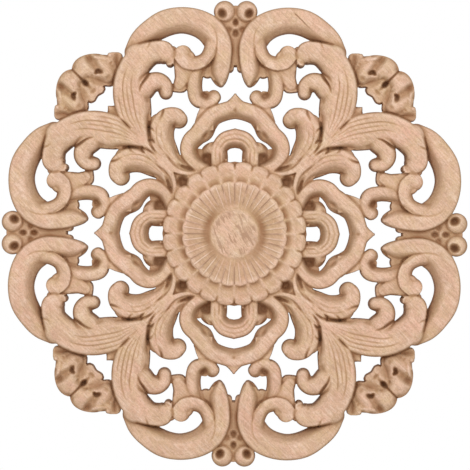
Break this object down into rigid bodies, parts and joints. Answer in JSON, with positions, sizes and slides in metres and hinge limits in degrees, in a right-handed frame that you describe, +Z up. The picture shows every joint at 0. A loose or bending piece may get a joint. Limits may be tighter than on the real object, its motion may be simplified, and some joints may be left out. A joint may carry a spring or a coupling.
{
  "type": "carved wood applique",
  "caption": "Round pierced wood applique with a fluted centre boss, acanthus leaves and C-scrolls, flat at the back, glued or pinned to furniture, doors or ceilings.",
  "frame": {"origin": "centre of the flat back face, on the rosette's own axis", "axes": "+Z up the wall along one crown axis, +X to the side, +Y out of the flat back into what it is fixed to, so the carved face looks to -Y"},
  "size_m": [0.2992, 0.02, 0.2992],
  "materials": {
    "raw_wood": "unpainted pale wood, sanded, matte, with fine grain and darker tool-cut hollows"
  },
  "bodies": {
    "root": {"carved_rosette": "raw_wood"}
  },
  "joints": []
}
